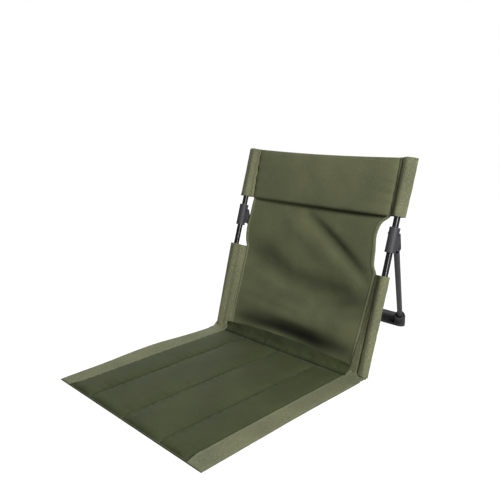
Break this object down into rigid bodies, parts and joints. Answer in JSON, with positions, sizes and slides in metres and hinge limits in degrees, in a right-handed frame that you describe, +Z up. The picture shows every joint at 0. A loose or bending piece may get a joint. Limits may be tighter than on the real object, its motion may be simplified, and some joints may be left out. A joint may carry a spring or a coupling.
{
  "type": "folding floor chair",
  "caption": "Folding floor chair: a quilted cloth seat mat, a slung cloth back with a headrest on two leaning steel uprights, and a swinging rear support.",
  "frame": {"origin": "on the floor, midway between the lower ends of the two uprights", "axes": "+Z up, -Y towards the front edge of the seat, +X to the right seen from the front"},
  "size_m": [0.468, 0.7739, 0.4403],
  "materials": {
    "upright_steel": "glossy black",
    "strut_steel": "satin dark grey",
    "fasteners": "dull zinc plate",
    "connector_plastic": "satin moulded, fine grain",
    "foot_plastic": "moulded, fine grain",
    "plug_plastic": "matte",
    "foam": "open-cell foam",
    "edge_cloth": "heathered heavy webbing cloth",
    "back_cloth": "coated plain-weave polyester",
    "seat_cloth": "coated plain-weave polyester",
    "hem_cloth": "folded and stitched",
    "base_cloth": "coated plain-weave polyester"
  },
  "bodies": {
    "backrest": {"back_hem_left": "hem_cloth", "back_hem_right": "hem_cloth", "back_panel": "back_cloth", "bottom_plug_left": "plug_plastic", "bottom_plug_right": "plug_plastic", "connector_left": "connector_plastic", "connector_right": "connector_plastic", "connector_rivet_left": "fasteners", "connector_rivet_right": "fasteners", "headrest_cover": "back_cloth", "headrest_foam": "foam", "lower_sleeve_left": "edge_cloth", "lower_sleeve_right": "edge_cloth", "pivot_pin_left": "fasteners", "pivot_pin_right": "fasteners", "rear_lap": "back_cloth", "top_plug_left": "plug_plastic", "top_plug_right": "plug_plastic", "upper_sleeve_left": "edge_cloth", "upper_sleeve_right": "edge_cloth", "upright_left": "upright_steel", "upright_right": "upright_steel"},
    "rear_support": {"foot_bar": "foot_plastic", "foot_pin_left": "fasteners", "foot_pin_right": "fasteners", "strut_end_left": "connector_plastic", "strut_end_right": "connector_plastic", "strut_left": "strut_steel", "strut_right": "strut_steel"},
    "seat": {"front_hem": "hem_cloth", "seat_base": "base_cloth", "seat_cover": "seat_cloth", "seat_foam_1": "foam", "seat_foam_2": "foam", "seat_foam_3": "foam", "seat_foam_4": "foam", "side_band_left": "edge_cloth", "side_band_right": "edge_cloth"}
  },
  "joints": [
    {"name": "support_fold", "type": "hinge", "parent": "backrest", "child": "rear_support", "pos_m": [0, 0.0982, 0.25963], "axis": [-1, 0, 0], "range_deg": [0, 58]},
    {"name": "seat_fold", "type": "hinge", "parent": "backrest", "child": "seat", "pos_m": [0, -0.014, 0.003], "axis": [-1, 0, 0], "range_deg": [0, 104]}
  ]
}
